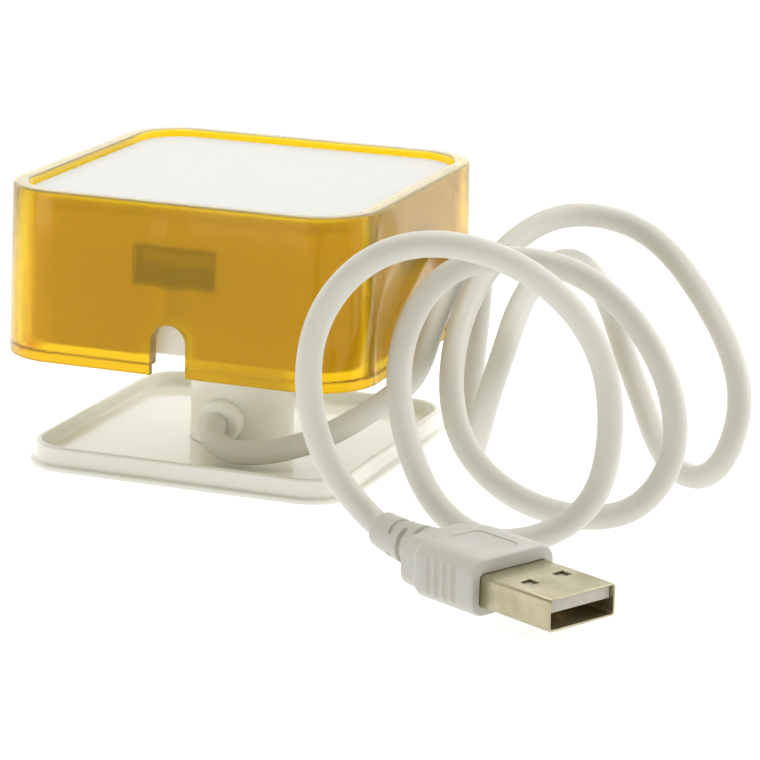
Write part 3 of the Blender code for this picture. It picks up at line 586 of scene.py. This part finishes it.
def make_tray():
    low, top = TRAY_LOW.z, TRAY_HIGH.z
    inner = TRAY_RIM_WIDTH
    flange = -TRAY_FLANGE - 0.05 * MM
    profile = filleted(
        [
            (6 * MM, low, 0), (flange, low, 0.15 * MM), (flange, low + 0.75 * MM, 0.3 * MM),
            (0, low + 0.85 * MM, 0.25 * MM), (0.1 * MM, top, 0.45 * MM), (inner - 0.1 * MM, top, 0.4 * MM),
            (inner, TRAY_FLOOR, 0.5 * MM), (6 * MM, TRAY_FLOOR, 0),
        ],
        False,
    )  # fmt: skip
    tray = skin("stand_tray", ring_on_square(profile, TRAY_SIDE, TRAY_CORNER, low), WHITE)
    dress(tray, "base_tray")


def make_column():
    foot, top = COLUMN_LOW.z - 0.2 * MM, COLUMN_HIGH.z
    under = top - COLUMN_FLANGE
    flange = COLUMN_HIGH.x
    profile = filleted(
        [
            (COLUMN_RADIUS, foot, 0), (COLUMN_RADIUS, under - MM, 0.6 * MM),
            (COLUMN_RADIUS + MM, under, 0.4 * MM), (flange, under, 0.3 * MM), (flange, top, 0.2 * MM),
            (COLUMN_BORE, top, 0.1 * MM), (COLUMN_BORE, foot, 0),
        ],
        False,
    )  # fmt: skip
    column = skin("round_column", [at_height(circle(r, 96), z) for r, z in profile], WHITE, True)
    dress(column, "column")


def make_housing():
    side = HEAD_HIGH.x - HEAD_LOW.x
    low, rim = HEAD_LOW.z, COVER_HIGH.z - COVER_THICKNESS - 0.05 * MM
    floor = low + HEAD_FLOOR_THICKNESS
    profile = filleted(
        [(3 * MM, low, 0), (0, low, 0.5 * MM), (0, rim, 0.1 * MM), (HEAD_WALL, rim, 0.2 * MM),
         (HEAD_WALL, floor, 0.3 * MM), (5 * MM, floor, 0)],
        False,
    )  # fmt: skip
    housing = skin("head_shell", ring_on_square(profile, side, HEAD_CORNER, low), WHITE)
    hole = slab("cut_lead_hole", circle(COLUMN_BORE + 0.4 * MM), low - PAST, floor + PAST)
    combine(housing, hole)
    window_size = [size + 2 * PORT_WINDOW_GAP for size in PORT_SIZE]
    outline = [(y, z + PORT_HEIGHT) for y, z in rounded(*window_size, 0.5 * MM, 4)]
    for _, degrees in SIDES:
        depths = (side / 2 - HEAD_WALL - 1.2 * MM, side / 2 + PAST)
        window = skin("cut_window", [[(x, y, z) for y, z in outline] for x in depths])
        window.data.transform(Matrix.Rotation(math.radians(degrees), 4, "Z"))
        combine(housing, window)
    half = NUB_SIZE[0] / 2 + FREE_GAP
    for way in (-1, 1):
        inside, outside = sorted((way * (side / 2 - GROOVE_DEPTH), way * (side / 2 + PAST)))
        low_corner, high_corner = (inside, NUB_Y - half, floor), (outside, NUB_Y + half, rim + PAST)
        combine(housing, block("cut_groove", low_corner, high_corner))
    soften(housing, 0.12 * MM, 2, 50)
    dress(housing, "housing")


def make_gland():
    hole = CORD_DIAMETER / 2 + 0.08 * MM
    profile = filleted(
        [(GLAND_RADIUS, GLAND_BACK, 0), (GLAND_RADIUS, GLAND_FACE, 0.5 * MM), (hole, GLAND_FACE, 0)], False
    )
    gland = skin("round_gland", [at_height(circle(r, 72), y) for r, y in profile], WHITE)
    gland.data.transform(Matrix.Translation((0, 0, GLAND_HEIGHT)) @ Matrix.Rotation(math.pi / 2, 4, "X"))
    seat = slab("cut_seat", circle(COLUMN_RADIUS + 0.12 * MM, 96), -2 * MM, 14 * MM)
    combine(gland, seat)
    dress(gland, "cord_gland")


def dress(obj, node, body="stand"):
    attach(obj, body)
    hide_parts(node)


def refine(node, material, width, segments=2, degrees=35, name=None):
    """A finer copy of a small CAD node, with its edges rounded."""
    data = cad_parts[node].data.copy()
    data.materials.clear()
    obj = link(name or "fine_" + node, data, material)
    soften(obj, width, segments, degrees)
    dress(obj, node)
    return obj


def make_small_pieces():
    for corner in CORNERS:
        refine(f"rubber_foot_{corner}", RUBBER, 0.1 * MM)
        refine(f"board_screw_{corner}", SCREW, 0.05 * MM)
    for name in ("base_screw_left", "base_screw_right", "column_screw_front", "column_screw_rear"):
        refine(name, SCREW, 0.05 * MM)
    for side, _ in SIDES:
        # The port tongues take the darkened ivory, which is painted shade.
        refine(f"port_tongue_{side}", IVORY_PAINTED_SHADE, 0.15 * MM)
    refine("circuit_board", GREEN, 0.08 * MM)
    refine("hub_controller", BLACK, 0.08 * MM)
    refine("capacitor_front", BLACK, 0.1 * MM)
    refine("capacitor_rear", BLACK, 0.1 * MM)
    refine("crystal", NICKEL, 0.25 * MM, 3)
    refine("lead_connector", IVORY, 0.12 * MM)


def sheet_tube(name, back, front, width, height, radius):
    """An open folded tube of thin sheet along +X, with a rounded lip."""
    # A corner gets tighter by this share of the way inwards.
    tightening = 0.6
    inner = radius - SHEET * tightening
    lip = SHEET / 2
    rings = [(back, 0, radius), (front - lip, 0, radius)]
    steps = 6
    for step in range(1, steps):
        turn = step / steps * math.pi
        out = lip * math.cos(turn) - lip
        rings.append((front - lip + lip * math.sin(turn), out, radius + out * tightening))
    rings += [(front - lip, -SHEET, inner), (back, -SHEET, inner)]
    points = [
        [(x, y, z) for y, z in rounded(width + 2 * out, height + 2 * out, corner, 6)]
        for x, out, corner in rings
    ]
    return skin(name, points, NICKEL, True)


def make_ports():
    """The four receptacle shells, each with a closed back and an opening above for its spring."""
    width, height = PORT_SIZE
    half_width, half_height = width / 2 - SHEET, height / 2 - SHEET
    end = PORT_MOUTH - PORT_DEPTH
    for side, degrees in SIDES:
        shell = sheet_tube(f"fine_port_shell_{side}", end, PORT_MOUTH, width, height, 0.6 * MM)
        back = block("port_back", (end, -half_width, -half_height), (end + SHEET, half_width, half_height))
        combine(shell, back, "UNION")
        combine(shell, block("cut_spring", SPRING_LOW, SPRING_HIGH))
        turn = Matrix.Rotation(math.radians(degrees), 4, "Z")
        shell.data.transform(turn @ Matrix.Translation((0, 0, PORT_HEIGHT)))
        dress(shell, f"port_shell_{side}")


# ---------------------------------------------------------------- plug


def plug_pose():
    return Matrix.Translation((*PLUG_TIP, 0)) @ Matrix.Rotation(PLUG_YAW, 4, "Z")


def blended(sections, steps=5):
    """Sections (x, width, height, corner, reach) with each change of slope turned into a smooth bend."""
    values = [np.array(section[:4], float) for section in sections]
    out = [values[0]]
    for i in range(1, len(values) - 1):
        before, here, after = values[i - 1 : i + 2]
        reach = sections[i][4]
        to_before, to_after = before - here, after - here
        first = here + to_before * min(0.49, reach / np.linalg.norm(to_before[:3]))
        last = here + to_after * min(0.49, reach / np.linalg.norm(to_after[:3]))
        for step in range(steps + 1):
            t = step / steps
            out.append((1 - t) ** 2 * first + 2 * t * (1 - t) * here + t**2 * last)
    return out + [values[-1]]


def make_overmold():
    """The moulded grip: a stepped neck, finger flutes on both sides and a shallow panel on its top."""
    rings = [
        [(x, y, z + PLUG_AXIS_HEIGHT) for y, z in rounded(w, h, r, 8)]
        for x, w, h, r in (section * MM for section in blended(GRIP_SECTIONS))
    ]
    body = skin("plug_grip", rings, MOULD)
    for way in (-1, 1):
        for number in range(FLUTE_COUNT):
            place = (FLUTE_START + FLUTE_STEP * number, way * FLUTE_CENTRE)
            combine(body, slab("cut_flute", circle(FLUTE_RADIUS, 20, place), -PAST, GRIP_TOP + PAST))
    panel = [(x + GRIP_PANEL_MIDDLE, y) for x, y in rounded(*GRIP_PANEL, GRIP_PANEL_CORNER, 6)]
    combine(body, slab("cut_panel", panel, GRIP_TOP - GRIP_PANEL_DEPTH, GRIP_TOP + PAST))
    room_size = [size + 0.1 * MM for size in PLUG_SHELL]
    middle = PLUG_SHELL_LOW + PLUG_SHELL[1] / 2
    room = [(y, z + middle) for y, z in rounded(*room_size, 0.65 * MM, 4)]
    combine(body, skin("cut_pocket", [[(x, y, z) for y, z in room] for x in GRIP_POCKET]))
    soften(body, 0.16 * MM, 3, 30)
    body.data.transform(plug_pose())
    dress(body, "plug_overmold")
    return body


def along_relief(share):
    """Centre, upward direction and backward direction at a share of the strain relief's length."""
    angle = RELIEF_END_ANGLE * share**2
    rise = RELIEF_LENGTH * RELIEF_END_ANGLE * share**3 / 3
    centre = Vector((RELIEF_START - RELIEF_LENGTH * share, 0, PLUG_AXIS_HEIGHT + rise))
    up = Vector((math.sin(angle), 0, math.cos(angle)))
    back = Vector((-math.cos(angle), 0, math.sin(angle)))
    return centre, up, back


def relief_slot(row, middle):
    """A cutter for one slot: part of a ring round the relief, centred on an angle, with blunt ends."""
    centre, up, back = along_relief(row)
    across = Vector((0, 1, 0))
    deep, shallow = RELIEF_SLOT_FLOOR, RELIEF_SLOT_MOUTH
    steps = 18
    rings = []
    for step in range(steps + 1):
        aside = 2 * step / steps - 1
        angle = math.radians(middle + RELIEF_SLOT_HALF_ANGLE * aside)
        radial = across * math.cos(angle) + up * math.sin(angle)
        half = RELIEF_SLOT_HALF_WIDTH * (1 - 0.5 * abs(aside) ** 6)
        corners = ((deep, -half), (shallow, -half), (shallow, half), (deep, half))
        rings.append([centre + radial * reach + back * along for reach, along in corners])
    slot = skin("cut_slot", rings)
    mesh = bmesh.new()
    mesh.from_mesh(slot.data)
    bmesh.ops.recalc_face_normals(mesh, faces=mesh.faces)
    mesh.to_mesh(slot.data)
    mesh.free()
    return slot


def make_relief():
    """The strain relief: a tapering sleeve that follows the cord's first bend, slotted in turn."""
    steps = 40
    rings = []
    for step in range(steps + 1):
        share = step / steps
        centre, up, _ = along_relief(share)
        past_start = max(0.0, share - RELIEF_END_START) / (1 - RELIEF_END_START)
        rounding = RELIEF_END_ROUNDING * past_start**2
        radius = RELIEF_RADIUS - RELIEF_TAPER * share - rounding
        rings.append([centre + Vector((up.x * y, x, up.z * y)) * radius for x, y in circle(1.0, 48)])
    relief = skin("plug_relief", list(reversed(rings)), MOULD)
    for row, middles in RELIEF_SLOTS:
        for middle in middles:
            combine(relief, relief_slot(row, middle))
    soften(relief, 0.1 * MM, 2, 45)
    relief.data.transform(plug_pose())
    dress(relief, "plug_overmold")
    return relief


def make_plug_shell():
    width, height = PLUG_SHELL
    centre = PLUG_SHELL_LOW + height / 2
    shell = sheet_tube("fine_plug_shell", -PLUG_SHELL_LENGTH, 0, width, height, 0.6 * MM)
    shell.data.transform(Matrix.Translation((0, 0, centre)))
    long_half, wide_half = LATCH_WINDOW[0] / 2, LATCH_WINDOW[1] / 2
    for way in (-1, 1):
        x, y = LATCH_PLACE[0], way * LATCH_PLACE[1]
        low_corner, high_corner = (x - long_half, y - wide_half, 0), (x + long_half, y + wide_half, 9 * MM)
        combine(shell, block("cut_latch", low_corner, high_corner))
    soften(shell, 0.05 * MM, 2, 60)
    shell.data.transform(plug_pose())
    dress(shell, "plug_shell")
    return shell


def make_insulator():
    return refine("plug_insulator", IVORY, 0.08 * MM, 2, 45, "fine_insulator")


def make_lead():
    """The lead inside the column stays as the CAD has it, in the cord's material."""
    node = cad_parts["inner_lead"]
    node.data.materials.clear()
    node.data.materials.append(CORD)
    shade(node, 60)


# ---------------------------------------------------------------- floor and light


def softbox(name, place, size, watts):
    data = bpy.data.lights.new(name, "AREA")
    data.shape = "RECTANGLE"
    data.size, data.size_y = size, size
    data.energy = watts
    lamp = bpy.data.objects.new(name, data)
    lamp.location = place
    lamp.rotation_euler = (Vector(LIT_POINT) - lamp.location).to_track_quat("-Z", "Y").to_euler()
    bpy.context.scene.collection.objects.link(lamp)


def make_floor():
    """A pale floor that glows, so that it stays plain white under and round the hub."""
    material, _, shader = principled("floor_white", (0.35, 0.35, 0.35), 0.6)
    shader.inputs["Emission Color"].default_value = (1, 1, 1, 1)
    shader.inputs["Emission Strength"].default_value = FLOOR_GLOW
    slab("floor", rounded(6.0, 6.0, 1.0), -2 * MM, 0, material)


def make_tent():
    """A white tent that is bright behind the hub, and dim and warm on the camera's side."""
    world = bpy.data.worlds.new("tent")
    world.use_nodes = True
    tree = world.node_tree
    background = tree.nodes["Background"]
    coordinates = tree.nodes.new("ShaderNodeTexCoord")
    facing = tree.nodes.new("ShaderNodeVectorMath")
    facing.operation = "DOT_PRODUCT"
    facing.inputs[1].default_value = BRIGHT_WAY
    tree.links.new(coordinates.outputs["Generated"], facing.inputs[0])
    share = mapped(tree, facing.outputs["Value"], -0.6, 0.8, 0, 1)
    tree.links.new(colour_mix(tree, share, TENT_FRONT, TENT_BACK), background.inputs["Color"])
    bpy.context.scene.world = world


make_camera()
cord, cord_length = make_cord()
make_sleeve()
make_cover()
make_housing()
make_tray()
make_column()
make_gland()
make_small_pieces()
make_ports()
make_lead()
plug_pieces = [make_overmold(), make_relief(), make_plug_shell(), make_insulator()]
for number in (1, 2, 3, 4):
    plug_pieces.append(refine(f"plug_contact_{number}", GOLD, 0.04 * MM))
plug_pieces.append(bpy.data.objects["round_gland"])
make_floor()
make_tent()
for softbox_facts in SOFTBOXES:
    softbox(*softbox_facts)
bpy.context.scene.view_settings.view_transform = "Standard"
